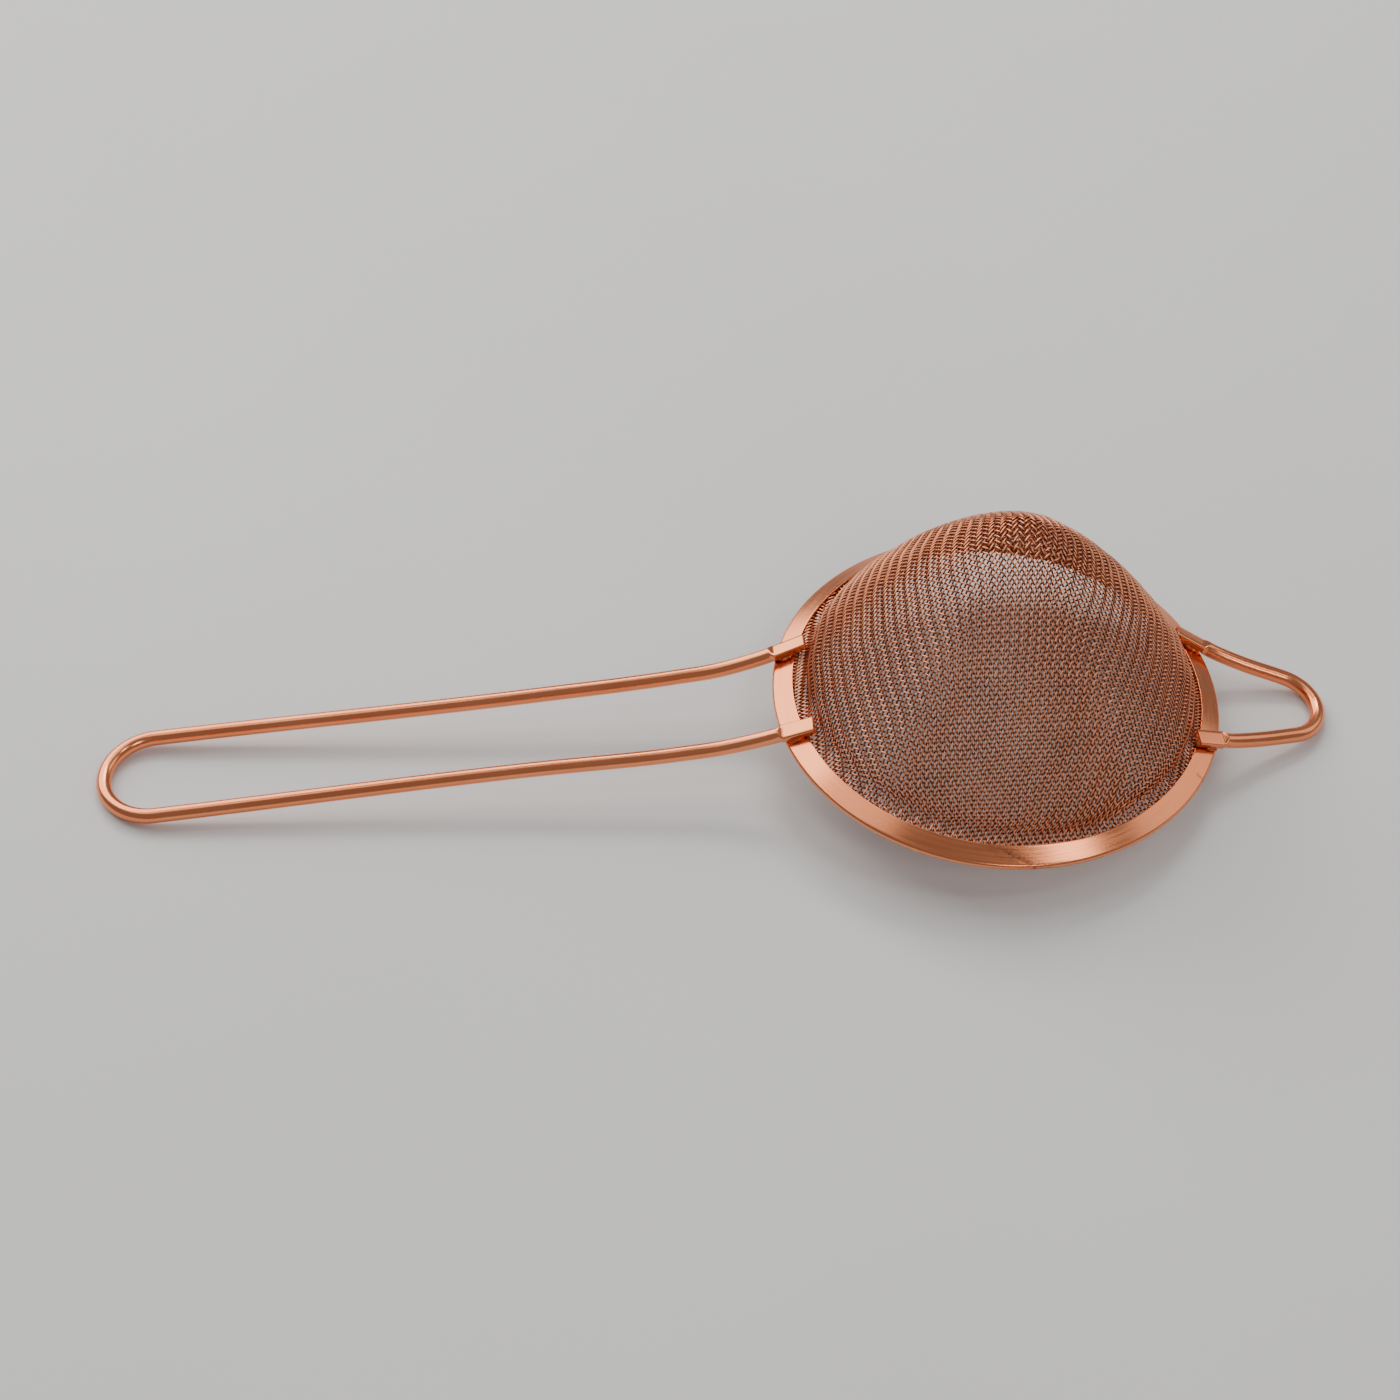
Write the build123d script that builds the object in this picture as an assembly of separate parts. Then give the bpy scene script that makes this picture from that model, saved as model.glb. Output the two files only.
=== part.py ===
from build123d import *
from math import atan2, cos, degrees, radians, sin, tan
import os

# A hand strainer of copper-finished steel: a cone of woven wire cloth, a folded sheet rim that
# clamps the cloth, a hairpin wire handle and a small wire rest loop, welded to the rim.
# It lies upside down, cone up, on the end of its handle and the nose of its rest loop.
#
# Every piece is drawn in the bowl's own frame: origin at the centre of the rim's folded edge,
# +Z up the bowl's axis to the tip of the cone and +X towards the rest loop. The finished
# strainer is then tipped about Y until both loops stand on the same level.

# ---- Rim ----
RIM_DIAMETER = 88.0
SHEET = 0.4              # thickness of the rim's strip
FLANGE_ANGLE = 28.0      # the flange falls outwards by this angle
FLANGE_WIDTH = 3.8       # from the fold's centre to the inner edge, along the slope

# ---- Wire cloth: arcs from the rim to the tip, tangent to each other ----
CLOTH = 0.6              # two crossing wires, pressed a little into each other
HEM_GAP = 0.3            # from the cloth's cut edge to the fold's centre
LIP_RADIUS = 0.4         # where the cloth leaves the flange
FOOT_RADIUS = 2.1        # hollow between the flange and the wall
SHOULDER_RADIUS = 9.9    # the wall stands upright at the foot and leans in above it
FLANK_RADIUS = 136.7
CAP_RADIUS = 6.75
WALL_ANGLE = 90.0        # outward normals, from the bowl's axis: at the foot of the wall,
FLANK_ANGLE = 59.7       # where the shoulder meets the flank
CAP_ANGLE = 39.0         # and where the flank meets the rounded tip

# ---- Wires and their coined tips ----
WIRE = 3.0
TIP_THICKNESS = 1.55
TIP_WIDTH = 3.5
TIP_TAPER = 1.1          # length over which the round wire becomes flat
PRESS_SHARE = 0.8        # share of the taper that the press marks
WELD_GAP = 0.45          # weld metal between a tip and the flange
WELD_LENGTH = 3.6
WELD_WIDTH = 4.4
WELD_HEIGHT = 1.3
WELD_START = 0.1         # from where the flat begins to the weld
WELD_ROUNDING = 0.585

# ---- Handle ----
HANDLE_REACH = 174.1     # bowl's axis to the centre of the wire at the far end
HANDLE_BEND = 10.2       # bend radius of the far end
HANDLE_WAIST = 9.7       # half the spacing of the wires where they are closest
HANDLE_WAIST_X = 90.0
HANDLE_FALL = 9.65       # slope of the long straight part below the rim
HANDLE_KNEE = 54.0       # bowl's axis to the bend next to the rim
HANDLE_KNEE_DROP = 3.28
HANDLE_KNEE_HALF = 10.15
HANDLE_KNEE_LEG = 9.0    # the bend next to the rim takes this much of both of its sides
HANDLE_KNEE_ROUNDING = 2.0
HANDLE_TIP_HALF = 10.7   # half the spacing of the tips where their flats begin
HANDLE_TIP_TURN = 4.0    # the tips point a little apart
HANDLE_TIP_START = 44.1  # how far out from the bowl's axis the flats begin
HANDLE_TIP_LENGTH = 6.1

# ---- Rest loop ----
REST_REACH = 64.7
REST_BEND = 8.1
REST_SPREAD = 16.7       # half the angle between the legs
REST_FALL = 10.0
REST_KNEE = 47.5
REST_KNEE_FALL = 22.0    # slope from the rim down to the knee
REST_KNEE_LEG = 3.0
REST_TIP_START = 44.5
REST_TIP_LENGTH = 5.9

UP = Vector(0, 0, 1)
FOLD_RADIUS = CLOTH / 2 + SHEET
FOLD = Vector(RIM_DIAMETER / 2 - FOLD_RADIUS, 0, 0)


def outward(angle):
    """Unit vector in the XZ half plane, at an angle from the bowl's axis."""
    return Vector(sin(radians(angle)), 0, cos(radians(angle)))


FLANGE_NORMAL = outward(FLANGE_ANGLE)
FLANGE_INWARD = outward(FLANGE_ANGLE - 90)

# Signed radius (a hollow is negative), first angle and last angle of each arc of the cloth.
CLOTH_ARCS = [
    (LIP_RADIUS, FLANGE_ANGLE, 0),
    (-FOOT_RADIUS, 0, WALL_ANGLE),
    (SHOULDER_RADIUS, WALL_ANGLE, FLANK_ANGLE),
    (FLANK_RADIUS, FLANK_ANGLE, CAP_ANGLE),
    (CAP_RADIUS, CAP_ANGLE, 0),
]


def hem_length():
    """Length of the straight hem that puts the cone's tip on the bowl's axis."""
    radial = sum(radius * (outward(last) - outward(first)).X for radius, first, last in CLOTH_ARCS)
    return (FOLD.X + radial) / cos(radians(FLANGE_ANGLE))


def cloth_edges(offset):
    """The cloth's section at an offset from its middle surface, from the cut edge to the tip."""
    cut = FOLD + FLANGE_INWARD * HEM_GAP + FLANGE_NORMAL * offset
    point = FOLD + FLANGE_INWARD * hem_length()
    edges = [Line(cut, point + FLANGE_NORMAL * offset)]
    for radius, first, last in CLOTH_ARCS:
        centre = point - outward(first) * radius
        angles = (first, (first + last) / 2, last)
        edges.append(ThreePointArc(*[centre + outward(a) * (radius + offset) for a in angles]))
        point = centre + outward(last) * radius
    return edges


def make_mesh_cone():
    upper = cloth_edges(CLOTH / 2)
    lower = cloth_edges(-CLOTH / 2)
    tip = Line(upper[-1] @ 1, lower[-1] @ 1)
    cut = Line(upper[0] @ 0, lower[0] @ 0)
    return revolve(make_face(upper + lower + [tip, cut]), axis=Axis.Z)


def make_rim():
    inner = CLOTH / 2
    edge = FOLD + FLANGE_INWARD * FLANGE_WIDTH

    def bend(radius):
        ends = (FLANGE_NORMAL * radius, FLANGE_INWARD * -radius, FLANGE_NORMAL * -radius)
        return ThreePointArc(*[FOLD + end for end in ends])

    section = [bend(FOLD_RADIUS), bend(inner)]
    for side in (1, -1):
        near = FLANGE_NORMAL * (inner * side)
        far = FLANGE_NORMAL * (FOLD_RADIUS * side)
        section.append(Line(FOLD + far, edge + far))
        section.append(Line(edge + far, edge + near))
        section.append(Line(edge + near, FOLD + near))
    return revolve(make_face(section), axis=Axis.Z)


class Tip:
    """A coined wire tip that lies flat on the flange.

    start is where its flat begins, in plan. heading is its direction in plan, towards the bowl.
    """

    def __init__(self, x, half, heading, length):
        self.length = length
        middle = Vector(x, half, 0) + heading * (length / 2)
        azimuth = degrees(atan2(middle.Y, middle.X))
        self.normal = FLANGE_NORMAL.rotate(Axis.Z, azimuth)
        self.along = (heading - UP * (heading.dot(self.normal) / self.normal.Z)).normalized()
        lift = FOLD_RADIUS + WELD_GAP + TIP_THICKNESS / 2
        surface = FOLD.rotate(Axis.Z, azimuth) + self.normal * lift
        fall = self.normal.dot(surface - Vector(x, half, 0)) / self.normal.Z
        self.start = Vector(x, half, fall)
        self.wire_end = self.start - self.along * TIP_TAPER

    def plane(self, distance):
        """The wire's cross section at a distance from the start."""
        across = self.normal.cross(self.along)
        return Plane(origin=self.start + self.along * distance, x_dir=across, z_dir=self.along)

    def flat(self):
        """The flattened end: a widened wire between two faces that close in on each other."""
        wide = Ellipse(TIP_WIDTH / 2, WIRE / 2)
        taper = loft([self.plane(-TIP_TAPER) * Circle(WIRE / 2), self.plane(0) * wide])
        body = taper + extrude(self.plane(0) * wide, self.length)
        clear = self.length + TIP_TAPER
        ramp = (WIRE - TIP_THICKNESS) / 2 / (TIP_TAPER * PRESS_SHARE)
        outline = [
            (-clear, TIP_THICKNESS / 2 + ramp * clear),
            (0, TIP_THICKNESS / 2),
            (clear, TIP_THICKNESS / 2),
        ]
        mirrored = [(s, -t) for s, t in reversed(outline)]
        side = Plane(origin=self.start, x_dir=self.along, z_dir=self.along.cross(self.normal))
        press = extrude(side * make_face(Polyline(*outline, *mirrored, close=True)), TIP_WIDTH, both=True)
        return body & press

    def weld(self, others):
        """Weld metal under the tip, with a low bead along both of its sides."""
        middle = self.start + self.along * (WELD_START + WELD_LENGTH / 2)
        seat = Plane(origin=middle - self.normal * (TIP_THICKNESS / 2), x_dir=self.along, z_dir=self.normal)
        bead = seat * Box(WELD_LENGTH, WELD_WIDTH, WELD_HEIGHT)
        bead = fillet(bead.edges(), WELD_ROUNDING)
        for other in others:
            bead = bead - other
        return bead


def in_plan(degrees_left):
    """Unit vector along +X turned by an angle about Z."""
    return Vector(1, 0, 0).rotate(Axis.Z, degrees_left)


def mirrored(shape):
    return mirror(shape, about=Plane.XZ)


def rest_half(x):
    """Half the spacing of the rest loop's legs."""
    return REST_BEND / cos(radians(REST_SPREAD)) + (REST_REACH - REST_BEND - x) * tan(radians(REST_SPREAD))


def rest_tip_x():
    """Where a leg of the rest loop crosses the circle on which its flats begin."""
    slope = tan(radians(REST_SPREAD))
    half = rest_half(0)
    root = ((half * slope) ** 2 - (1 + slope**2) * (half**2 - REST_TIP_START**2)) ** 0.5
    return (half * slope + root) / (1 + slope**2)


HANDLE_TIP_X = -((HANDLE_TIP_START**2 - HANDLE_TIP_HALF**2) ** 0.5)
HANDLE_TIP = Tip(HANDLE_TIP_X, HANDLE_TIP_HALF, in_plan(HANDLE_TIP_TURN), HANDLE_TIP_LENGTH)
REST_TIP = Tip(rest_tip_x(), rest_half(rest_tip_x()), in_plan(180 - REST_SPREAD), REST_TIP_LENGTH)


def handle_height(x):
    """Height of the long straight part of the handle."""
    return -HANDLE_KNEE_DROP - (-HANDLE_KNEE - x) * tan(radians(HANDLE_FALL))


def handle_path():
    centre = Vector(HANDLE_BEND - HANDLE_REACH, 0, 0)

    def on_slope(point):
        return Vector(point.X, point.Y, handle_height(point.X))

    bend = ThreePointArc(*[on_slope(centre + in_plan(a) * HANDLE_BEND) for a in (180, 135, 90)])
    knee = Vector(-HANDLE_KNEE, HANDLE_KNEE_HALF, -HANDLE_KNEE_DROP)
    straight = in_plan(0) + UP * tan(radians(HANDLE_FALL))
    steep = (HANDLE_TIP.wire_end - knee).normalized()
    leg = Spline(
        bend @ 1,
        (-HANDLE_WAIST_X, HANDLE_WAIST, handle_height(-HANDLE_WAIST_X)),
        knee - straight * HANDLE_KNEE_LEG,
        knee + (steep - straight.normalized()) * HANDLE_KNEE_ROUNDING,
        knee + steep * HANDLE_KNEE_LEG,
        HANDLE_TIP.wire_end,
        tangents=[bend % 1, HANDLE_TIP.along],
    )
    return bend, leg


def rest_path():
    centre = Vector(REST_REACH - REST_BEND, 0, 0)
    wire_end = REST_TIP.wire_end
    knee_height = wire_end.Z - (REST_KNEE - wire_end.X) * tan(radians(REST_KNEE_FALL))

    def on_slope(point):
        fall = (point.X - REST_KNEE) * tan(radians(REST_FALL))
        return Vector(point.X, point.Y, knee_height - fall)

    angles = (0, (90 - REST_SPREAD) / 2, 90 - REST_SPREAD)
    bend = ThreePointArc(*[on_slope(centre + in_plan(a) * REST_BEND) for a in angles])
    leg_end = bend @ 1
    inward = in_plan(180 - REST_SPREAD)
    knee = on_slope(leg_end + inward * ((leg_end.X - REST_KNEE) / cos(radians(REST_SPREAD))))
    leg = Spline(
        leg_end,
        knee + (leg_end - knee).normalized() * REST_KNEE_LEG,
        wire_end,
        tangents=[(knee - leg_end).normalized(), REST_TIP.along],
    )
    return bend, leg


def make_wire(path, tip):
    """A loop of round wire swept from one tip to the other, with both tips coined flat."""
    bend, leg = path
    half = leg.edges() + bend.edges()
    loop = Wire(half + [mirrored(edge).edge() for edge in reversed(half)])
    section = Plane(origin=tip.wire_end, z_dir=tip.along) * Circle(WIRE / 2)
    flat = tip.flat()
    return sweep(section, path=loop) + flat + mirrored(flat)


def resting_tilt():
    """Angle between the rim and the level that both loops stand on."""
    handle_end = handle_path()[0] @ 0
    rest_nose = rest_path()[0] @ 0
    return degrees(atan2(rest_nose.Z - handle_end.Z, rest_nose.X - handle_end.X))


def build():
    rim = make_rim()
    handle = make_wire(handle_path(), HANDLE_TIP)
    rest = make_wire(rest_path(), REST_TIP)
    nodes = {"mesh_cone": make_mesh_cone(), "rim": rim, "handle_wire": handle, "rest_wire": rest}
    for name, tip, wire in (("handle", HANDLE_TIP, handle), ("rest", REST_TIP, rest)):
        bead = tip.weld([rim, wire])
        nodes[name + "_weld_left"] = bead
        nodes[name + "_weld_right"] = mirrored(bead)
    return nodes


def main():
    os.makedirs("parts", exist_ok=True)
    tilt = Rot(0, resting_tilt(), 0)
    for name, shape in build().items():
        placed = tilt * shape
        placed.label = name
        export_step(placed, f"parts/{name}.step")


main()
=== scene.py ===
import math

import bpy
import numpy as np
from mathutils import Matrix, Vector


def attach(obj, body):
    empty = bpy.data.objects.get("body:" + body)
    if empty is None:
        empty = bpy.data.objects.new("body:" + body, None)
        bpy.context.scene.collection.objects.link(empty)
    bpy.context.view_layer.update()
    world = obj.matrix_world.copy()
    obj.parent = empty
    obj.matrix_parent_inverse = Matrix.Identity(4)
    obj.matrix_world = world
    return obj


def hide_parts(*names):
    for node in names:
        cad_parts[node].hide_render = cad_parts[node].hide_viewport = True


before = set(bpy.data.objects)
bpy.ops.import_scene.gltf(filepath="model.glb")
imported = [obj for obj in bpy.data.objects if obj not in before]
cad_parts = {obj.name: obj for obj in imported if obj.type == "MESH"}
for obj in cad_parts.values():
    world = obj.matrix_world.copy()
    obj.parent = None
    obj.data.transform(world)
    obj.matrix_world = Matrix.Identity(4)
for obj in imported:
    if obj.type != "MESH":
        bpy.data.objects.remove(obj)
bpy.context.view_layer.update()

# Shapes are drawn in millimetres in the bowl's own frame, as in the CAD: origin at the centre of
# the rim's fold, +Z up the bowl's axis, +X towards the rest loop. place() tips them to the table.
MM_PER_METRE = 1000.0
TILT = math.radians(4.842)
TABLE = -10.421

# The rim: a strip of sheet folded over the cloth's edge. Its flange slopes by FLANGE.
RIM_R = 44.0
SHEET = 0.4
FLANGE = math.radians(28.0)
FLANGE_WIDTH = 3.8
FOLD_R = 0.7
FOLD_X = RIM_R - FOLD_R

# The flange's unevenness: height, waves round the rim and shift of each wave.
FLANGE_WAVES = ((0.035, 3, 0.7), (0.02, 7, 2.1), (0.008, 17, 0.0))
OUT_OF_ROUND = 0.02
FLANGE_SPAN = 4.0

# How fast the rim's faint lines change along it and across it.
STREAK_AROUND = 3.0
STREAK_ACROSS = 3.5

# Where the strip's two ends meet: a groove that turns by SEAM_SLANT for each millimetre outward,
# between dirty bands (offset, strength, spread). A dirty hairline crosses the edge further round.
SEAM_AZIMUTH = math.radians(-95.5)
SEAM_SLANT = math.radians(2.9)
SEAM_MIDDLE_R = 41.0
SEAM_ARC_R = 42.0
GROOVE_WIDTH = 0.16
GROOVE_DEPTH = 0.05
SEAM_BANDS = ((0.0, 0.9, 0.45), (1.1, 0.55, 0.5), (-1.2, 0.45, 0.6), (2.4, 0.3, 0.8), (-2.6, 0.25, 0.9))
HAIRLINE_AZIMUTH = math.radians(330.0)
HAIRLINE_ARC_R = 43.0
HAIRLINE_INNER_R = 42.4
HAIRLINE_STRENGTH = 0.7
HAIRLINE_SPREAD = 0.3

# The two wires and their coined tips, which lie flat on the flange.
WIRE_R = 1.5
TIP_HALF_T = 0.775
TIP_HALF_W = 1.72
WELD_GAP = 0.45
TIP_LIFT = FOLD_R + WELD_GAP + TIP_HALF_T
TIP_POWER = 5.6
TAPER = 1.2
TURN_FROM = 14.0
TURN_LENGTH = 7.0
# Rows that round a tip's end: narrower, thinner and further out than the flat before them.
TIP_ROUNDING = ((0.07, 0.07, 0.06), (0.16, 0.16, 0.09), (0.5, 0.45, 0.095))

HANDLE_REACH = 174.1
HANDLE_BEND_R = 10.2
HANDLE_FALL = math.radians(9.65)
HANDLE_WAIST_X = -90.0
HANDLE_WAIST_Y = 9.7
HANDLE_KNEE = (-54.0, 10.15, -3.28)
HANDLE_KNEE_BEFORE = 9.0
HANDLE_KNEE_AFTER = 7.0
HANDLE_KNEE_CUT = 2.0
HANDLE_TIP_R = 44.1
HANDLE_TIP_Y = 10.7
HANDLE_TIP_HEADING = 4.0
HANDLE_TIP_LENGTH = 6.1

REST_REACH = 64.7
REST_BEND_R = 8.1
REST_SPREAD = 16.7
REST_FALL = math.radians(10.0)
REST_KNEE_X = 47.5
REST_KNEE_DROP = math.radians(22.0)
REST_KNEE_BEFORE = 3.0
REST_TIP_R = 44.5
REST_TIP_LENGTH = 5.9

# A weld bead: half its length, width and height, how far along the tip it sits, and its lumps
# (height, lumps round the bead).
BEAD_HALF = (1.75, 2.12, 0.46)
BEAD_ALONG = 1.95
BEAD_SUNK = 0.12
BEAD_LUMPS = ((0.05, 3), (0.035, 7), (0.02, 11))
BEAD_RIPPLE = 0.03
BEAD_RIPPLES = 5

# The cloth is a 2-over 2-under twill. Its two sets of wires run over the tip at these azimuths.
STRAND_R = 0.19
PRESSED = 0.75
WARP_PITCH = 0.98
WEFT_PITCH = 0.88
WARP_AZIMUTH = math.radians(49.0)
WEFT_AZIMUTH = math.radians(124.0)
DRIFT = 0.035
SHORTEST_RUN = 4
SHORTEST_PIECE = 6
END_GAP = 0.05
MIDDLE_LINES = 12

# Arcs of the cloth's section from the flange up to the tip: radius, and the tilt of the outward
# normal from the axis where the arc starts and ends, in degrees. A negative radius is hollow.
CLOTH_ARCS = {
    "crease": (0.4, 28.0, 0.0),
    "foot": (-2.1, 0.0, 90.0),
    "shoulder": (9.9, 90.0, 59.7),
    "side": (136.7, 59.7, 39.0),
    "tip": (6.75, 39.0, 0.0),
}
CUT_EDGE = 0.3
SECTION_STEP = 0.25

# Low waves left by pressing the cloth: the axis they move it along, height, radians per
# millimetre along x, y and z, and shift.
CLOTH_WAVES = (
    (0, 0.09, (0.0, 0.55, 0.31), 0.4),
    (0, 0.06, (1.1, 0.0, -0.7), 2.0),
    (1, 0.09, (0.49, 0.0, -0.27), 1.7),
    (1, 0.06, (0.0, 0.9, 0.8), 0.6),
    (2, 0.07, (0.43, 0.37, 0.0), 0.9),
)
CLOTH_LEAN = 0.5
TIP_SUNK = 0.08
# The height where each of these starts or ends, and the length over which it grows or fades.
WAVES_START = (2.3, 3.0)
WAVES_END = (48.5, 12.0)
LEAN_START = (2.2, 2.5)
LEAN_END = (34.0, 28.0)
SUNK_START = (43.0, 4.0)

# The net's solver: how much of the last step it guesses for the next and its smallest guess, how
# far it looks to find a slope, its longest move, the misfit it accepts, and its rounds.
GUESSED_STEP = 0.8
SMALLEST_GUESS = 0.7
NUDGE = 1e-3
LONGEST_STEP = 0.4
ACCEPTED = 0.05
NET_ROUNDS = 40

rng = np.random.default_rng(7)


def tip_over(points):
    """Points or directions of the bowl's frame, turned to the way the strainer lies."""
    p = np.asarray(points, float).reshape(-1, 3)
    c, s = math.cos(TILT), math.sin(TILT)
    x = p[:, 0] * c + p[:, 2] * s
    z = -p[:, 0] * s + p[:, 2] * c
    return np.stack([x, p[:, 1], z], 1)


def place(points):
    """Millimetre points of the bowl's frame as metres in the shared frame."""
    return tip_over(points) / MM_PER_METRE


def unit(v):
    """Vectors scaled to length one."""
    return v / np.linalg.norm(v, axis=-1, keepdims=True)


def ease(x):
    """From 0 to 1, flat at both ends."""
    x = np.clip(x, 0, 1)
    return x * x * (3 - 2 * x)


def grow(z, start, length):
    """0 up to a height, then to 1 over a length."""
    return np.clip((z - start) / length, 0, 1)


def fade(z, end, length):
    """1 until a length below a height, then to 0 there."""
    return np.clip((end - z) / length, 0, 1)


def circle(sides):
    """Angles of points evenly round a circle."""
    return np.linspace(0, 2 * np.pi, sides, endpoint=False)


def add_mesh(name, points, faces, material, sharp=None, marks=None):
    """A mesh from millimetre points. marks are numbers on its points that its material reads."""
    mesh = bpy.data.meshes.new(name)
    mesh.from_pydata(place(points).tolist(), [], [tuple(int(i) for i in f) for f in faces])
    mesh.update()
    mesh.polygons.foreach_set("use_smooth", [True] * len(mesh.polygons))
    for key, values in (marks or {}).items():
        kind, field = ("FLOAT_VECTOR", "vector") if values.ndim == 2 else ("FLOAT", "value")
        mesh.attributes.new(key, kind, "POINT").data.foreach_set(field, values.ravel())
    if sharp is not None:
        mesh.set_sharp_from_angle(angle=math.radians(sharp))
    mesh.materials.append(material)
    obj = bpy.data.objects.new(name, mesh)
    bpy.context.scene.collection.objects.link(obj)
    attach(obj, "root")
    return obj


def grid_faces(rows, cols, base=0, wrap_rows=False):
    """Quads between rows of points; every row is a closed ring."""
    r = np.arange(rows if wrap_rows else rows - 1)
    rr, cc = np.meshgrid(r, np.arange(cols), indexing="ij")
    r2, c2 = (rr + 1) % rows, (cc + 1) % cols
    quads = np.stack([rr * cols + cc, rr * cols + c2, r2 * cols + c2, r2 * cols + cc], -1)
    return (quads.reshape(-1, 4) + base).tolist()


def closed_faces(rows, cols, base=0):
    """The quads of a tube and the two faces that close its ends."""
    last = base + (rows - 1) * cols
    first_cap = list(range(base + cols - 1, base - 1, -1))
    last_cap = list(range(last, last + cols))
    return grid_faces(rows, cols, base) + [first_cap, last_cap]


# ---------------------------------------------------------------- the cloth's surface

def arc_profile():
    """The cloth's section from the tip down to its cut edge: radius, height and normal angle."""
    arcs = [(r, math.radians(a), math.radians(b)) for r, a, b in CLOTH_ARCS.values()]
    radial = sum(r * (math.sin(b) - math.sin(a)) for r, a, b in arcs)
    hem = (FOLD_X + radial) / math.cos(FLANGE)
    steps = np.linspace(CUT_EDGE, hem, 12)
    pts = [(FOLD_X - s * math.cos(FLANGE), s * math.sin(FLANGE), FLANGE) for s in steps]
    for r, a, b in arcs:
        x, z, _ = pts[-1]
        cx, cz = x - r * math.sin(a), z - r * math.cos(a)
        n = max(8, int(abs(r * (b - a)) / SECTION_STEP))
        for t in np.linspace(a, b, n + 1)[1:]:
            pts.append((cx + r * math.sin(t), cz + r * math.cos(t), t))
    profile = np.array(pts[::-1])
    profile[0, 0] = 0.0
    return profile


PROFILE = arc_profile()
ARC_S = np.concatenate([[0], np.cumsum(np.hypot(np.diff(PROFILE[:, 0]), np.diff(PROFILE[:, 1])))])
ARC_END = ARC_S[-1]


def surface(s, theta):
    """Point and outward normal at a distance down the slope and an azimuth."""
    s = np.asarray(s, float)
    r, z, tilt = (np.interp(s, ARC_S, PROFILE[:, column]) for column in range(3))
    c, k = np.cos(theta), np.sin(theta)
    point = np.stack([r * c, r * k, z], -1)
    normal = np.stack([np.sin(tilt) * c, np.sin(tilt) * k, np.cos(tilt)], -1)
    return point, normal


def next_down(s0, theta, pitch):
    """Distance down the slope, one pitch further along a meridian."""
    s1 = s0 + pitch
    for _ in range(8):
        p0, _ = surface(s0, theta)
        p1, _ = surface(s1, theta)
        s1 += pitch - np.linalg.norm(p1 - p0)
    return s1


def fit_crossings(pa, pb, pu, pv, s, theta):
    """Moves guessed crossings until each is pu from pa and pv from pb; says which ones got there."""

    def misfit(s, theta):
        p, _ = surface(s, theta)
        return np.linalg.norm(p - pa, axis=1) - pu, np.linalg.norm(p - pb, axis=1) - pv

    per = 1.0 / NUDGE
    for _ in range(NET_ROUNDS):
        fa, fb = misfit(s, theta)
        sa, sb = misfit(s + NUDGE, theta)
        ta, tb = misfit(s, theta + NUDGE)
        a, b = (sa - fa) * per, (ta - fa) * per
        c, d = (sb - fb) * per, (tb - fb) * per
        det = a * d - b * c
        det = np.where(np.abs(det) < 1e-6, 1e-6, det)
        s = s - np.clip((d * fa - b * fb) / det, -LONGEST_STEP, LONGEST_STEP)
        turn = LONGEST_STEP / np.maximum(s, 1)
        theta = theta - np.clip((a * fb - c * fa) / det, -turn, turn)
        s = np.maximum(s, 0.05)
    return s, theta, np.maximum(np.abs(fa), np.abs(fb)) < ACCEPTED


def net_quadrant(pu, pv, angle):
    """Cloth draped on the cone between two wires that run straight down the slope.

    The two wires start from the tip, an angle apart. Every crossing is pu from its neighbour
    along the first set of wires and pv along the second. Returns (s, theta) of the crossings.
    The net runs one or two millimetres past the cloth's end, where weave_family cuts the wires.
    """
    n = int(ARC_END * 1.2 / min(pu, pv)) + 4
    s = np.full((n, n), np.nan)
    th = np.full((n, n), np.nan)
    s[0, 0], th[0, 0] = 0.0, angle / 2
    for i in range(1, n):
        if s[i - 1, 0] < ARC_END + 2:
            s[i, 0], th[i, 0] = next_down(s[i - 1, 0], 0.0, pu), 0.0
        if s[0, i - 1] < ARC_END + 2:
            s[0, i], th[0, i] = next_down(s[0, i - 1], angle, pv), angle
    for k in range(2, 2 * n - 1):
        i = np.arange(max(1, k - n + 1), min(n, k))
        j = k - i
        known = ~(np.isnan(s[i - 1, j]) | np.isnan(s[i, j - 1]) | np.isnan(s[i - 1, j - 1]))
        known &= np.minimum(s[i - 1, j], s[i, j - 1]) < ARC_END + 1
        i, j = i[known], j[known]
        if not len(i):
            continue
        above_a, above_b, corner = (i - 1, j), (i, j - 1), (i - 1, j - 1)
        pa, _ = surface(s[above_a], th[above_a])
        pb, _ = surface(s[above_b], th[above_b])
        pc, _ = surface(s[corner], th[corner])
        guess = pa + pb - pc
        theta = np.arctan2(guess[:, 1], guess[:, 0])
        step = 0.5 * (s[above_a] + s[above_b] - 2 * s[corner])
        down = np.maximum(np.maximum(s[above_a], s[above_b]) + step * GUESSED_STEP, SMALLEST_GUESS)
        down, theta, good = fit_crossings(pa, pb, pu, pv, down, theta)
        s[i[good], j[good]] = down[good]
        th[i[good], j[good]] = theta[good]
    return s, th


def weave():
    """(s, theta) of every crossing on the whole cone, indexed from the tip both ways."""
    turn = WEFT_AZIMUTH - WARP_AZIMUTH
    s1, t1 = net_quadrant(WARP_PITCH, WEFT_PITCH, turn)
    s2, t2 = net_quadrant(WEFT_PITCH, WARP_PITCH, math.pi - turn)
    m = max(s1.shape[0], s2.shape[0])
    s = np.full((2 * m + 1, 2 * m + 1), np.nan)
    t = np.full((2 * m + 1, 2 * m + 1), np.nan)
    for half, flip in ((0.0, 1), (math.pi, -1)):
        for sq, tq, start, second in ((s2, t2, WEFT_AZIMUTH, True), (s1, t1, WARP_AZIMUTH, False)):
            n = sq.shape[0]
            u, v = np.meshgrid(np.arange(n), np.arange(n), indexing="ij")
            i, j = (-v, u) if second else (u, v)
            s[m + flip * i, m + flip * j] = sq
            t[m + flip * i, m + flip * j] = tq + start + half
    return s, t, m


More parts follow.
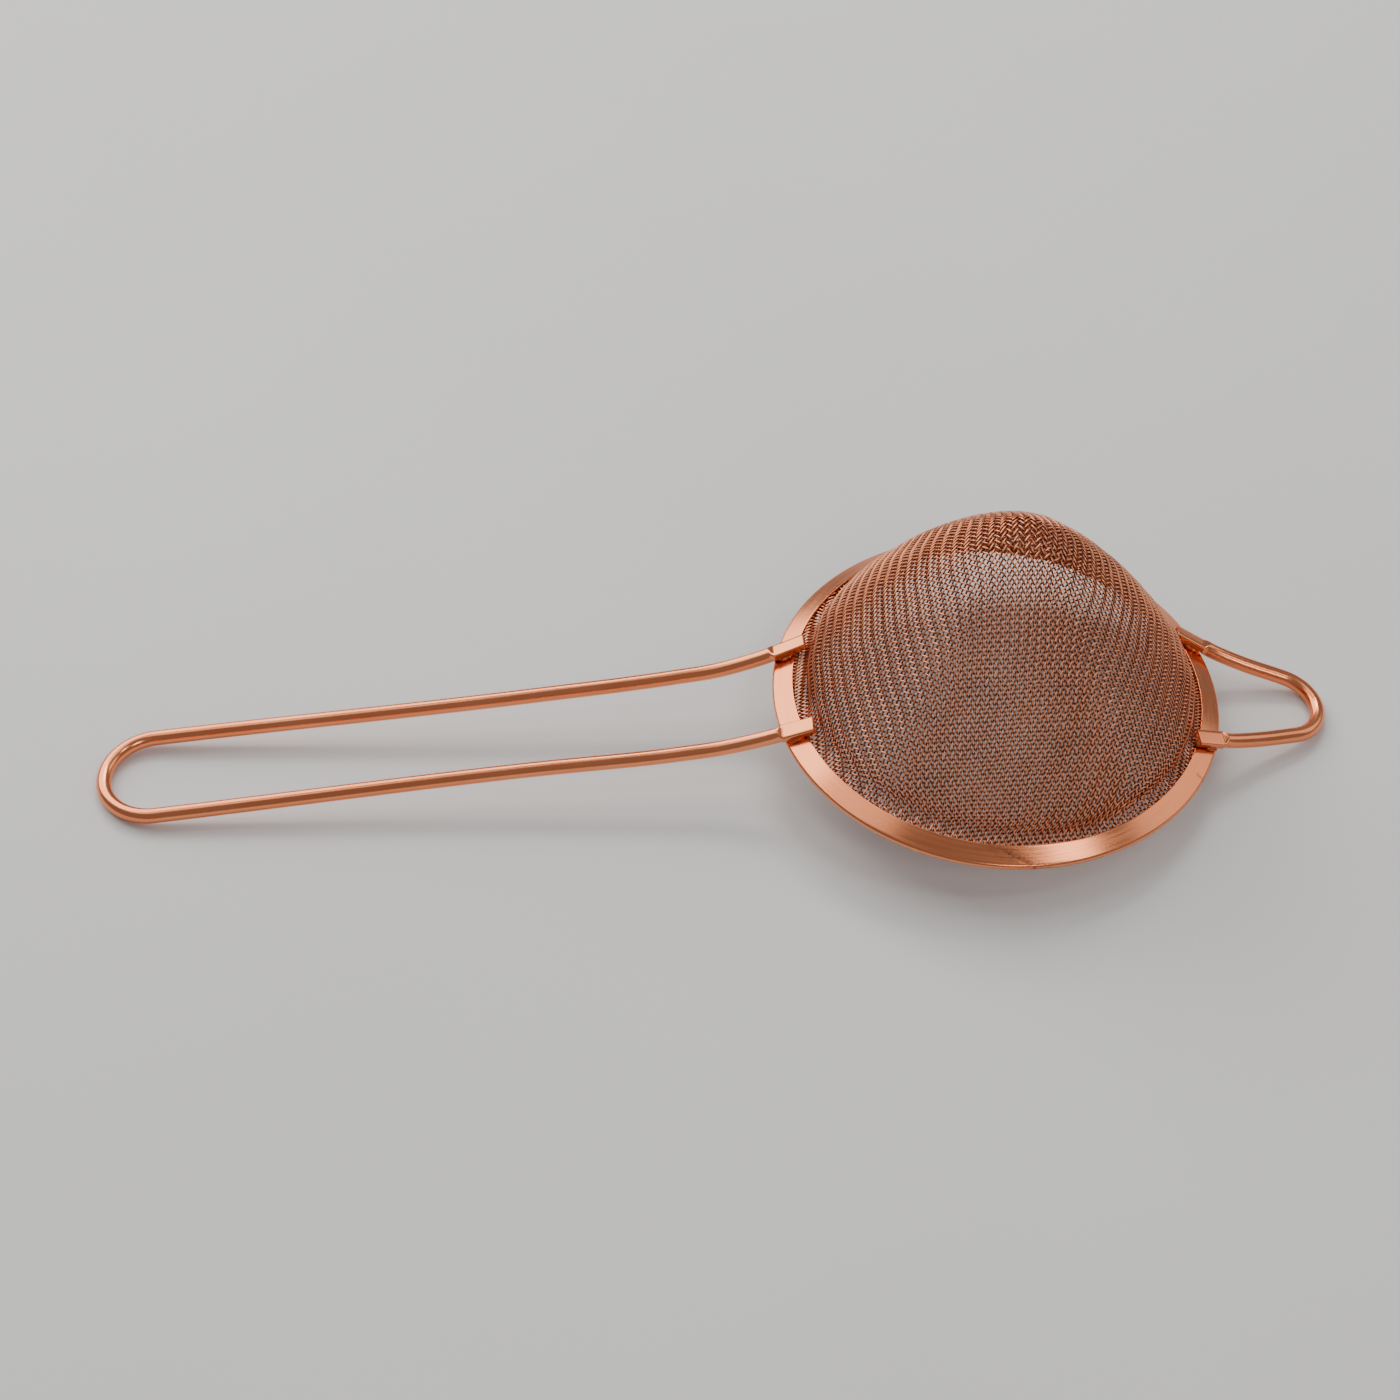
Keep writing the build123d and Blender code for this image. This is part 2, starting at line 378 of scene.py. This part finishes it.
def spline_points(p, per):
    """Catmull-Rom curve through points, per samples in every span."""
    q = np.concatenate([[2 * p[0] - p[1]], p, [2 * p[-1] - p[-2]]])
    t = (np.arange(per) / per)[None, :, None]
    a, b, c, d = q[:-3, None], q[1:-2, None], q[2:-1, None], q[3:, None]
    out = 0.5 * (2 * b + (c - a) * t + (2 * a - 5 * b + 4 * c - d) * t**2 + (3 * b - a - 3 * c + d) * t**3)
    return np.concatenate([out.reshape(-1, p.shape[1]), p[-1:]])


def tube(centre, side, up, radius, sides):
    """Points of a round tube: centre line, two unit vectors across it, radius."""
    phi = circle(sides)
    ring = np.cos(phi)[None, :, None] * up[:, None, :] + np.sin(phi)[None, :, None] * side[:, None, :]
    return (centre[:, None, :] + ring * radius).reshape(-1, 3)


def slope_of(points):
    """Distance down the slope of points near the surface, from their radius and height."""
    r = np.hypot(points[:, 0], points[:, 1])
    z = points[:, 2]
    d = (PROFILE[None, :, 0] - r[:, None]) ** 2 + (PROFILE[None, :, 1] - z[:, None]) ** 2
    return ARC_S[np.argmin(d, 1)]


def settle(p):
    """Small unevenness of the pressed cloth, and the wall's shift towards the rest loop.

    The waves die out towards the rim and the tip. The lean is strongest low on the wall, and
    the tip is sunk a little, so that it stays inside the CAD's box.
    """
    z = p[:, 2]
    free = ease(grow(z, *WAVES_START) * fade(z, *WAVES_END))
    moved = p.copy()
    for axis, height, waves, shift in CLOTH_WAVES:
        moved[:, axis] += height * np.sin(p @ np.array(waves) + shift) * free
    moved[:, 0] += CLOTH_LEAN * grow(z, *LEAN_START) * fade(z, *LEAN_END)
    moved[:, 2] -= TIP_SUNK * grow(z, *SUNK_START)
    return moved


def unbroken(numbers):
    """Increasing whole numbers, split where one is missing."""
    return np.split(numbers, np.where(np.diff(numbers) > 1)[0] + 1)


def passes_over(line, other, weft):
    """+1 where a wire lies outside the wires it crosses and -1 where inside, two and two."""
    if weft:
        return np.where((line - other) % 4 < 2, -1.0, 1.0)
    return np.where((other - line) % 4 < 2, 1.0, -1.0)


def strand_path(s, theta, over, per):
    """Centre line, normal and over-under wave of one wire, which drifts a little sideways."""
    p, n = surface(s, theta)
    drift = DRIFT * np.sin(rng.uniform(0, 6.28) + np.arange(len(p)) * rng.uniform(0.05, 0.2))
    aside = unit(np.cross(np.gradient(p, axis=0), n))
    fine = spline_points(np.concatenate([p + aside * drift[:, None], n, over[:, None]], 1), per)
    return fine[:, :3], unit(fine[:, 3:6]), fine[:, 6]


def add_strand(chunk, centre, normal, wave, sides):
    """Adds one length of wire to a chunk, and how proud of the cloth its points stand, a mark for painted
    highlight and painted shade.
    """
    c = settle(centre) + normal * (wave[:, None] * STRAND_R * PRESSED)
    along = unit(np.gradient(c, axis=0))
    side = unit(np.cross(along, normal))
    base = sum(len(points) for points in chunk["points"])
    chunk["faces"] += closed_faces(len(c), sides, base)
    chunk["points"].append(tube(c, side, np.cross(side, along), STRAND_R, sides))
    # Painted light: brighter where the wire stands proud of the cloth, for a painted highlight on its
    # crest and painted shade in the crossings.
    chunk["painted_crest_light"].append(np.abs(wave[:, None] + np.cos(circle(sides))[None, :]).ravel() / 2)


def weave_family(s, t, m, weft):
    """The wires of one set, in three chunks across the cone."""
    per = 3
    sides = 6
    chunks = {}
    for line in range(-m, m + 1):
        row_s = s[m + line] if weft else s[:, m + line]
        row_t = t[m + line] if weft else t[:, m + line]
        key = "a" if line < -MIDDLE_LINES else "b" if line < MIDDLE_LINES else "c"
        for run in unbroken(np.where(~np.isnan(row_s))[0]):
            if len(run) < SHORTEST_RUN:
                continue
            over = passes_over(line, run - m, weft)
            centre, normal, wave = strand_path(row_s[run], row_t[run], over, per)
            for piece in unbroken(np.where(slope_of(centre) < ARC_END - END_GAP)[0]):
                if len(piece) < SHORTEST_PIECE:
                    continue
                chunk = chunks.setdefault(key, {"points": [], "faces": [], "painted_crest_light": []})
                add_strand(chunk, centre[piece], normal[piece], wave[piece], sides)
    return chunks


def build_cloth(material):
    """The woven cone, six pieces of many wires each."""
    s, t, m = weave()
    for family, weft in (("warp", False), ("weft", True)):
        for key, chunk in weave_family(s, t, m, weft).items():
            obj = add_mesh(f"cloth_{family}_{key}", np.concatenate(chunk["points"]), chunk["faces"],
                           material, marks={"painted_crest_light": np.concatenate(chunk["painted_crest_light"])})
            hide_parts("mesh_cone")


# ---------------------------------------------------------------- rim

def rim_section():
    """Closed section of the folded strip, in radius and height, outer bend first."""
    out = np.array([math.sin(FLANGE), math.cos(FLANGE)])
    inward = np.array([-math.cos(FLANGE), math.sin(FLANGE)])
    fold = np.array([FOLD_X, 0.0])
    inner = FOLD_R - SHEET
    edge = SHEET / 2
    rounding = 0.12

    def bend(radius, first, last, count):
        angles = np.linspace(first, last, count)
        return [fold + out * radius * math.cos(a) - inward * radius * math.sin(a) for a in angles]

    def flat(height, first, last, count):
        return [fold + inward * d + out * height for d in np.linspace(first, last, count)]

    def cut_edge(side):
        middle = fold + inward * (FLANGE_WIDTH - rounding) + out * side * (inner + edge)
        pts = []
        for a in np.linspace(-math.pi / 2, math.pi / 2, 9):
            x = rounding * math.copysign(abs(math.cos(a)) ** 0.6, math.cos(a))
            y = edge * math.copysign(abs(math.sin(a)) ** 0.6, math.sin(a))
            pts.append(middle + inward * x + out * y)
        return pts

    pts = bend(FOLD_R, 0, math.pi, 25)
    pts += flat(-FOLD_R, 0.4, FLANGE_WIDTH - rounding, 6)
    pts += cut_edge(-1)
    pts += flat(-inner, FLANGE_WIDTH - 0.5, 0.4, 5)
    pts += bend(inner, math.pi, 0, 9)
    pts += flat(inner, 0.4, FLANGE_WIDTH - 0.5, 5)
    pts += cut_edge(1)
    pts += flat(FOLD_R, FLANGE_WIDTH - 0.4, 0.4, 8)
    return np.array(pts)


def bump_at(distance, spread):
    """1 at a place and falling away from it."""
    return np.exp(-((distance / spread) ** 2))


def dirt(across, azimuth, radius):
    """How dirty the strip is: the bands along its seam, and a hairline further round."""
    mark = np.zeros(len(radius))
    for offset, strength, spread in SEAM_BANDS:
        mark = np.maximum(mark, strength * bump_at(across - offset, spread))
    hairline = bump_at((azimuth - HAIRLINE_AZIMUTH) * HAIRLINE_ARC_R, HAIRLINE_SPREAD)
    return np.maximum(mark, HAIRLINE_STRENGTH * hairline * (radius > HAIRLINE_INNER_R))


def build_rim(material):
    """The folded strip, slightly uneven, with the groove where its two ends meet."""
    section = rim_section()
    radius, height = section[:, 0], section[:, 1]
    upper = height > (FOLD_X - radius) * math.tan(FLANGE)
    around = 720
    pts = []
    streaks = []
    seams = []
    for a in circle(around):
        wave = sum(size * math.sin(count * a + shift) for size, count, shift in FLANGE_WAVES)
        turned = (a - SEAM_AZIMUTH + math.pi) % (2 * math.pi) - math.pi
        across = (turned - (radius - SEAM_MIDDLE_R) * SEAM_SLANT) * SEAM_ARC_R
        groove = GROOVE_DEPTH * bump_at(across, GROOVE_WIDTH) * upper
        r = radius + OUT_OF_ROUND * math.sin(2 * a + 1.0)
        z = height + wave * (RIM_R - radius) / FLANGE_SPAN - groove
        pts.append(np.stack([r * math.cos(a), r * math.sin(a), z], 1))
        seams.append(dirt(across, a, radius))
        along_x = np.full(len(r), STREAK_AROUND * math.cos(a))
        along_y = np.full(len(r), STREAK_AROUND * math.sin(a))
        streaks.append(np.stack([along_x, along_y, r * STREAK_ACROSS], 1))
    faces = grid_faces(around, len(section), wrap_rows=True)
    rim = add_mesh("rim_strip", np.concatenate(pts), faces, material,
                   marks={"seam": np.concatenate(seams), "streak": np.concatenate(streaks)})
    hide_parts("rim")


# ---------------------------------------------------------------- wires

def seat(half, x_start, heading_deg, length):
    """Where a coined tip lies on the flange: start, direction and normal of its flat."""
    h = math.radians(heading_deg)
    heading = np.array([math.cos(h), math.sin(h), 0.0])
    middle = np.array([x_start, half, 0.0]) + heading * length / 2
    az = math.atan2(middle[1], middle[0])
    normal = np.array([math.sin(FLANGE) * math.cos(az), math.sin(FLANGE) * math.sin(az), math.cos(FLANGE)])
    on = np.array([FOLD_X * math.cos(az), FOLD_X * math.sin(az), 0.0]) + normal * TIP_LIFT
    z = normal @ (on - np.array([x_start, half, 0.0])) / normal[2]
    start = np.array([x_start, half, z])
    along = unit(heading - np.array([0, 0, 1.0]) * (heading @ normal) / normal[2])
    return start, along, normal


def hermite(points, first, last, step):
    """Smooth curve through points with given end directions, sampled about every step."""
    p = [np.asarray(q, float) for q in points]
    d = [np.asarray(first, float)]
    for i in range(1, len(p) - 1):
        la, lb = np.linalg.norm(p[i] - p[i - 1]), np.linalg.norm(p[i + 1] - p[i])
        d.append(unit((p[i] - p[i - 1]) / la * lb / (la + lb) + (p[i + 1] - p[i]) / lb * la / (la + lb)))
    d.append(np.asarray(last, float))
    out = []
    for i in range(len(p) - 1):
        ln = np.linalg.norm(p[i + 1] - p[i])
        t = np.linspace(0, 1, max(2, int(ln / step)), endpoint=False)[:, None]
        a, b = d[i] * ln, d[i + 1] * ln
        out.append((2 * t**3 - 3 * t**2 + 1) * p[i] + (t**3 - 2 * t**2 + t) * a
                   + (-2 * t**3 + 3 * t**2) * p[i + 1] + (t**3 - t**2) * b)
    out.append(np.array([p[-1]]))
    return np.concatenate(out)


def superellipse(phi, power):
    """Points of a rounded rectangle of half width one; power 2 is a circle."""
    c, s = np.cos(phi), np.sin(phi)
    k = (np.abs(c) ** power + np.abs(s) ** power) ** (-1.0 / power)
    return c * k, s * k


def both_sides(values):
    """Values along one half of a loop, carried round to the other end."""
    return np.concatenate([values[1:][::-1], values])


def build_wire(name, node, half_path, start, along, normal, length, material):
    """A loop of round wire whose two ends are pressed flat. half_path runs from the far end."""
    taper_steps = np.linspace(0, 1, 9)
    flat_steps = np.linspace(0, 1, 14)[1:]
    taper = [start - along * TAPER * (1 - t) for t in taper_steps]
    flat = [start + along * (length * t) for t in flat_steps]
    half = np.concatenate([half_path[:-1], taper, flat])
    line = np.concatenate([half[1:][::-1] * np.array([1, -1, 1]), half])
    pressed = np.concatenate([np.zeros(len(half_path) - 1), taper_steps, np.ones(len(flat))])
    pressed = both_sides(ease(pressed))

    # Up turns from vertical to the flange's normal over the last stretch before each tip.
    run = np.concatenate([[0], np.cumsum(np.linalg.norm(np.diff(half, axis=0), axis=1))])
    turned = both_sides(ease((run - (run[-1] - TURN_FROM)) / TURN_LENGTH))[:, None]
    flip = np.where(np.arange(len(line)) < len(half) - 1, -1.0, 1.0)
    flange = np.stack([np.full(len(line), normal[0]), normal[1] * flip, np.full(len(line), normal[2])], 1)
    ref = unit(flange * turned + np.array([0, 0, 1.0]) * (1 - turned))
    tangent = unit(np.gradient(line, axis=0))
    up = unit(ref - tangent * np.sum(ref * tangent, 1, keepdims=True))
    side = np.cross(tangent, up)
    phi = circle(64)

    def row(k, half_w, half_t, power, out=0.0):
        c, s = superellipse(phi, power)
        return line[k] + tangent[k] * out + up[k] * (s * half_t)[:, None] + side[k] * (c * half_w)[:, None]

    def rounded_end(k, direction):
        return [row(k, TIP_HALF_W - narrower, TIP_HALF_T - thinner, TIP_POWER, direction * out)
                for narrower, thinner, out in TIP_ROUNDING]

    rows = rounded_end(0, -1)[::-1]
    for k, f in enumerate(pressed):
        half_w = WIRE_R + (TIP_HALF_W - WIRE_R) * f
        half_t = WIRE_R + (TIP_HALF_T - WIRE_R) * f
        rows.append(row(k, half_w, half_t, 2 + (TIP_POWER - 2) * f))
    rows += rounded_end(len(line) - 1, 1)
    obj = add_mesh(name, np.concatenate(rows), closed_faces(len(rows), len(phi)), material, sharp=38)
    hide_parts(node)


def handle_half():
    """One leg of the handle from its far end: centre line, then its tip's place and length."""
    knee = np.array(HANDLE_KNEE)
    fall = math.tan(HANDLE_FALL)

    def on_leg(x, y):
        return np.array([x, y, knee[2] + (x - knee[0]) * fall])

    tip_x = -math.sqrt(HANDLE_TIP_R**2 - HANDLE_TIP_Y**2)
    start, along, normal = seat(HANDLE_TIP_Y, tip_x, HANDLE_TIP_HEADING, HANDLE_TIP_LENGTH)
    wire_end = start - along * TAPER
    bend_x = -HANDLE_REACH + HANDLE_BEND_R
    arc = [on_leg(bend_x - HANDLE_BEND_R * math.cos(a), HANDLE_BEND_R * math.sin(a))
           for a in np.linspace(0, math.pi / 2, 40)]
    straight = unit(np.array([1.0, 0.0, fall]))
    steep = unit(wire_end - knee)
    waypoints = [
        arc[-1],
        on_leg(HANDLE_WAIST_X, HANDLE_WAIST_Y),
        knee - straight * HANDLE_KNEE_BEFORE,
        knee + (steep - straight) * HANDLE_KNEE_CUT,
        knee + steep * HANDLE_KNEE_AFTER,
        wire_end,
    ]
    leg = hermite(waypoints, straight, along, 0.8)
    return np.concatenate([arc[:-1], leg]), start, along, normal, HANDLE_TIP_LENGTH


def rest_half():
    """One leg of the rest loop from its far end: centre line, then its tip's place and length."""
    spread = math.radians(REST_SPREAD)
    bend_x = REST_REACH - REST_BEND_R

    def half_gap(x):
        return REST_BEND_R / math.cos(spread) + (bend_x - x) * math.tan(spread)

    # The tip starts where the leg's line crosses a circle round the axis; this closes in on it.
    tip_x = REST_TIP_R
    rounds = 20
    for _ in range(rounds):
        tip_x = math.sqrt(REST_TIP_R**2 - half_gap(tip_x) ** 2)
    start, along, normal = seat(half_gap(tip_x), tip_x, 180 - REST_SPREAD, REST_TIP_LENGTH)
    wire_end = start - along * TAPER
    knee_z = wire_end[2] - (REST_KNEE_X - wire_end[0]) * math.tan(REST_KNEE_DROP)

    def on_loop(x, y):
        return np.array([x, y, knee_z - (x - REST_KNEE_X) * math.tan(REST_FALL)])

    arc = [on_loop(bend_x + REST_BEND_R * math.cos(a), REST_BEND_R * math.sin(a))
           for a in np.linspace(0, math.pi / 2 - spread, 36)]
    knee = on_loop(REST_KNEE_X, half_gap(REST_KNEE_X))
    waypoints = [arc[-1], knee + unit(arc[-1] - knee) * REST_KNEE_BEFORE, wire_end]
    leg = hermite(waypoints, unit(arc[-1] - arc[-2]), along, 0.5)
    return np.concatenate([arc[:-1], leg]), start, along, normal, REST_TIP_LENGTH


def build_weld(name, node, start, along, normal, mirror, material, seed):
    """A bead of weld metal between a tip and the flange, lumpy along its edge."""
    shifts = np.random.default_rng(seed).uniform(0, 6.28, 4)
    across = np.cross(normal, along)
    middle = start + along * BEAD_ALONG - normal * (TIP_HALF_T + BEAD_SUNK)
    half_length, half_width, half_height = BEAD_HALF
    rows, cols = 40, 64
    pts = []
    for u in np.linspace(-math.pi / 2, math.pi / 2, rows):
        ring = abs(math.cos(u)) ** 0.55
        level = math.copysign(abs(math.sin(u)) ** 0.8, math.sin(u))
        for v in circle(cols):
            c, s = superellipse(v, 3.0)
            lump = 1 + sum(size * math.sin(count * v + shift)
                           for (size, count), shift in zip(BEAD_LUMPS, shifts))
            ripple = BEAD_RIPPLE * math.sin(BEAD_RIPPLES * v + shifts[3]) * ring
            x = half_length * c * ring * lump
            y = half_width * s * ring * lump
            pts.append(middle + along * x + across * y + normal * (half_height * level + ripple))
    pts = np.array(pts)
    faces = closed_faces(rows, cols)
    if mirror:
        pts = pts * np.array([1, -1, 1])
        faces = [f[::-1] for f in faces]
    obj = add_mesh(name, pts, faces, material)
    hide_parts(node)


# ---------------------------------------------------------------- materials

def new_material(name):
    """A material, its node tree and its shader."""
    mat = bpy.data.materials.new(name)
    mat.use_nodes = True
    nt = mat.node_tree
    return mat, nt, nt.nodes["Principled BSDF"]


def noise(nt, scale, detail, vector=None):
    """Noise from 0 to 1, over the object unless a vector is given."""
    tex = nt.nodes.new("ShaderNodeTexNoise")
    tex.inputs["Scale"].default_value = scale
    tex.inputs["Detail"].default_value = detail
    vector = vector or nt.nodes.new("ShaderNodeTexCoord").outputs["Object"]
    nt.links.new(vector, tex.inputs["Vector"])
    return tex.outputs["Fac"]


def attribute(nt, name):
    """Reads the numbers that a mesh carries on its points."""
    node = nt.nodes.new("ShaderNodeAttribute")
    node.attribute_name = name
    return node.outputs


def ramp(nt, fac, stops):
    """Colours at places from 0 to 1, blended between."""
    node = nt.nodes.new("ShaderNodeValToRGB")
    elements = node.color_ramp.elements
    while len(elements) < len(stops):
        elements.new(0.5)
    for element, (position, colour) in zip(elements, stops):
        element.position = position
        element.color = (*colour, 1.0)
    nt.links.new(fac, node.inputs["Fac"])
    return node.outputs["Color"]


def remap(nt, fac, lo, hi, out_lo, out_hi):
    """A number's range carried over to another range, held at its ends."""
    node = nt.nodes.new("ShaderNodeMapRange")
    node.inputs["From Min"].default_value = lo
    node.inputs["From Max"].default_value = hi
    node.inputs["To Min"].default_value = out_lo
    node.inputs["To Max"].default_value = out_hi
    nt.links.new(fac, node.inputs["Value"])
    return node.outputs["Result"]


def combine(nt, operation, first, second):
    """Two numbers added or multiplied."""
    node = nt.nodes.new("ShaderNodeMath")
    node.operation = operation
    nt.links.new(first, node.inputs[0])
    nt.links.new(second, node.inputs[1])
    return node.outputs[0]


def add_bump(nt, bsdf, height, strength, distance):
    """A fine relief on the surface, distance in metres."""
    node = nt.nodes.new("ShaderNodeBump")
    node.inputs["Strength"].default_value = strength
    node.inputs["Distance"].default_value = distance
    nt.links.new(height, node.inputs["Height"])
    nt.links.new(node.outputs["Normal"], bsdf.inputs["Normal"])


def plain_copper(name, light, dark, rough_lo, rough_hi, scale, bump, bump_scale):
    """Copper plating with patches of tone and sheen, and a fine grain."""
    mat, nt, bsdf = new_material(name)
    nt.links.new(ramp(nt, noise(nt, scale, 4.0), [(0.3, dark), (0.7, light)]), bsdf.inputs["Base Color"])
    bsdf.inputs["Metallic"].default_value = 1.0
    sheen = noise(nt, scale * 2.3, 3.0)
    nt.links.new(remap(nt, sheen, 0.3, 0.7, rough_lo, rough_hi), bsdf.inputs["Roughness"])
    add_bump(nt, bsdf, noise(nt, bump_scale, 2.0), bump, 0.0001)
    return mat


def wire_copper():
    """Polished wire."""
    light, dark = (0.96, 0.33, 0.15), (0.89, 0.27, 0.115)
    return plain_copper("wire_copper", light, dark, 0.15, 0.23, 45.0, 0.10, 1100.0)


def weld_copper():
    """Duller and darker metal of the beads."""
    light, dark = (0.72, 0.20, 0.09), (0.42, 0.10, 0.04)
    return plain_copper("weld_copper", light, dark, 0.22, 0.42, 160.0, 0.25, 1500.0)


def cloth_copper():
    """Painted highlight where a wire stands proud of the cloth, painted shade, dark and red, in the
    crossings.
    """
    mat, nt, bsdf = new_material("cloth_copper")
    patches = remap(nt, noise(nt, 120.0, 4.0), 0.3, 0.7, -0.10, 0.10)
    painted_light_level = combine(nt, "ADD", attribute(nt, "painted_crest_light")["Fac"], patches)
    # Painted shade, dark and red, at the low end; painted highlight at the high end.
    stops = [(0.40, (0.20, 0.045, 0.020)), (0.64, (0.55, 0.15, 0.065)), (0.90, (0.95, 0.37, 0.19))]
    nt.links.new(ramp(nt, painted_light_level, stops), bsdf.inputs["Base Color"])
    bsdf.inputs["Metallic"].default_value = 1.0
    nt.links.new(remap(nt, noise(nt, 260.0, 3.0), 0.3, 0.7, 0.24, 0.36), bsdf.inputs["Roughness"])
    return mat


def rim_copper():
    """Polished strip with faint lines round it, and a dirty streak where its two ends meet."""
    mat, nt, bsdf = new_material("rim_copper")
    lines = noise(nt, 1.0, 4.0, attribute(nt, "streak")["Vector"])
    clean = ramp(nt, lines, [(0.3, (0.88, 0.27, 0.115)), (0.7, (0.96, 0.33, 0.15))])
    dirty = ramp(nt, noise(nt, 700.0, 3.0), [(0.3, (0.16, 0.05, 0.03)), (0.7, (0.30, 0.09, 0.05))])
    patches = remap(nt, noise(nt, 900.0, 4.0), 0.35, 0.6, 0.35, 1.0)
    mix = nt.nodes.new("ShaderNodeMix")
    mix.data_type = "RGBA"
    nt.links.new(combine(nt, "MULTIPLY", attribute(nt, "seam")["Fac"], patches), mix.inputs[0])
    nt.links.new(clean, mix.inputs[6])
    nt.links.new(dirty, mix.inputs[7])
    nt.links.new(mix.outputs[2], bsdf.inputs["Base Color"])
    bsdf.inputs["Metallic"].default_value = 1.0
    nt.links.new(remap(nt, lines, 0.3, 0.7, 0.15, 0.25), bsdf.inputs["Roughness"])
    add_bump(nt, bsdf, lines, 0.25, 0.00002)
    return mat


def floor_pale():
    """Pale, slightly mottled table."""
    mat, nt, bsdf = new_material("floor_pale")
    stops = [(0.3, (0.76, 0.75, 0.735)), (0.7, (0.80, 0.79, 0.775))]
    nt.links.new(ramp(nt, noise(nt, 5.0, 4.0), stops), bsdf.inputs["Base Color"])
    bsdf.inputs["Roughness"].default_value = 0.55
    bsdf.inputs["Specular IOR Level"].default_value = 0.3
    return mat


# ---------------------------------------------------------------- floor, light, camera

def build_floor():
    """The table that the rim and the far ends of both loops stand over."""
    half = 6.0
    corners = [(-half, -half, 0), (half, -half, 0), (half, half, 0), (-half, half, 0)]
    mesh = bpy.data.meshes.new("floor")
    mesh.from_pydata(corners, [], [(0, 1, 2, 3)])
    mesh.materials.append(floor_pale())
    floor = bpy.data.objects.new("floor", mesh)
    floor.location = (0, 0, TABLE / MM_PER_METRE)
    bpy.context.scene.collection.objects.link(floor)


def light_world():
    """Weak, slightly cool light from all round."""
    world = bpy.data.worlds.new("studio")
    world.use_nodes = True
    background = world.node_tree.nodes["Background"]
    background.inputs["Color"].default_value = (0.93, 0.96, 1.0, 1.0)
    background.inputs["Strength"].default_value = 0.28
    bpy.context.scene.world = world


def area(name, direction, distance, width, height, power):
    """A slightly warm lamp that faces the origin. Sizes and distance are in metres."""
    light = bpy.data.lights.new(name, "AREA")
    light.shape = "RECTANGLE"
    light.size, light.size_y = width, height
    light.energy = power
    light.color = (1.0, 0.985, 0.965)
    obj = bpy.data.objects.new(name, light)
    d = Vector(direction).normalized()
    obj.location = d * distance
    obj.rotation_euler = (-d).to_track_quat("-Z", "Y").to_euler()
    bpy.context.scene.collection.objects.link(obj)


# The camera was solved in the bowl's frame; its place and axes are tipped like everything else.
CAMERA_DOWN = math.radians(46.952)
CAMERA_TURN = math.radians(8.4)
CAMERA_ROLL = math.radians(-6.021)
CAMERA_DISTANCE = 882.352941
CAMERA_LEFT = 58.020980
CAMERA_LOW = 0.333137
CAMERA_LENS = 115.714286


def bowl_vector(across, up, away):
    """From the camera's right, up and away axes, before roll, to the bowl's frame."""
    forward = up * math.sin(CAMERA_DOWN) + away * math.cos(CAMERA_DOWN)
    x = across * math.cos(CAMERA_TURN) + forward * math.sin(CAMERA_TURN)
    y = -across * math.sin(CAMERA_TURN) + forward * math.cos(CAMERA_TURN)
    z = up * math.cos(CAMERA_DOWN) - away * math.sin(CAMERA_DOWN)
    return np.array([x, y, z])


def build_camera():
    """The photograph's camera."""
    right = bowl_vector(math.cos(CAMERA_ROLL), -math.sin(CAMERA_ROLL), 0.0)
    upward = bowl_vector(math.sin(CAMERA_ROLL), math.cos(CAMERA_ROLL), 0.0)
    away = bowl_vector(0.0, 0.0, 1.0)
    eye = place(-right * CAMERA_LEFT - upward * CAMERA_LOW - away * CAMERA_DISTANCE)[0]
    axes = tip_over([right, upward, -away])
    camera = bpy.data.cameras.new("camera")
    camera.sensor_width = 36.0
    camera.lens = CAMERA_LENS
    camera.clip_start, camera.clip_end = 0.05, 30.0
    obj = bpy.data.objects.new("camera", camera)
    obj.matrix_world = Matrix([(*axes[:, i], eye[i]) for i in range(3)] + [(0, 0, 0, 1)])
    bpy.context.scene.collection.objects.link(obj)
    bpy.context.scene.camera = obj


# ---------------------------------------------------------------- build

build_cloth(cloth_copper())
build_rim(rim_copper())

wire_mat = wire_copper()
h_path, h_start, h_along, h_normal, h_len = handle_half()
r_path, r_start, r_along, r_normal, r_len = rest_half()
build_wire("handle_loop", "handle_wire", h_path, h_start, h_along, h_normal, h_len, wire_mat)
build_wire("rest_loop", "rest_wire", r_path, r_start, r_along, r_normal, r_len, wire_mat)

weld_mat = weld_copper()
build_weld("handle_bead_left", "handle_weld_left", h_start, h_along, h_normal, False, weld_mat, 11)
build_weld("handle_bead_right", "handle_weld_right", h_start, h_along, h_normal, True, weld_mat, 12)
build_weld("rest_bead_left", "rest_weld_left", r_start, r_along, r_normal, False, weld_mat, 13)
build_weld("rest_bead_right", "rest_weld_right", r_start, r_along, r_normal, True, weld_mat, 14)

build_floor()
light_world()
area("key_left_back", (-0.52, 0.64, 0.60), 1.1, 1.0, 0.90, 8.6)
area("top_left", (-0.42, 0.12, 0.92), 1.2, 0.5, 0.5, 0.9)
area("top_back", (0.05, 0.34, 0.94), 1.25, 0.55, 0.45, 1.1)
area("crest_back", (0.08, 0.66, 0.76), 1.25, 0.50, 0.26, 3.4)
area("strip_right_top", (0.44, -0.22, 0.88), 1.2, 0.18, 0.36, 0.9)
area("side_right", (0.80, 0.20, 0.50), 1.2, 0.75, 0.7, 1.5)
area("front_soft", (0.22, -0.64, 0.74), 1.3, 0.32, 0.32, 1.6)
build_camera()

bpy.context.view_layer.update()
